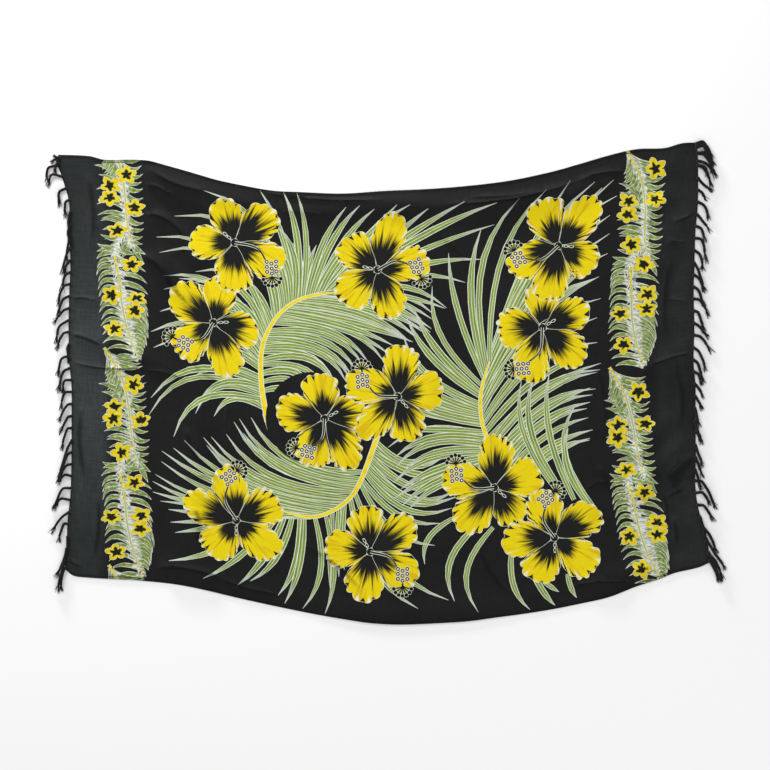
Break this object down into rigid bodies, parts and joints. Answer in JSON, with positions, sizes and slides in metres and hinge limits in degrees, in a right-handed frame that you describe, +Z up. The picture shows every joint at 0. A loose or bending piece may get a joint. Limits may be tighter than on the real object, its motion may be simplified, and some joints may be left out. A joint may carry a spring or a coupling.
{
  "type": "sarong",
  "caption": "Rectangular black rayon sarong with a yellow flower and palm leaf print, rolled hems and twisted side fringes, laid out flat.",
  "frame": {"origin": "middle of the bounding box of the whole garment with its fringes, on the surface that it lies on", "axes": "+X along the long edges towards the right fringe, +Y across the cloth towards the upper hem, +Z up from the surface"},
  "size_m": [1.8212, 1.2918, 0.0099],
  "materials": {
    "printed_cloth": "plain woven sheer black rayon with a yellow, green and white print",
    "hem": "narrow rolled and stitched hem of the same rayon",
    "fringe": "matte black two-ply twisted yarn with frayed ends"
  },
  "bodies": {
    "root": {"cloth": "printed_cloth", "upper_hem": "hem", "lower_hem": "hem", "left_fringe": "fringe", "right_fringe": "fringe"}
  },
  "joints": []
}
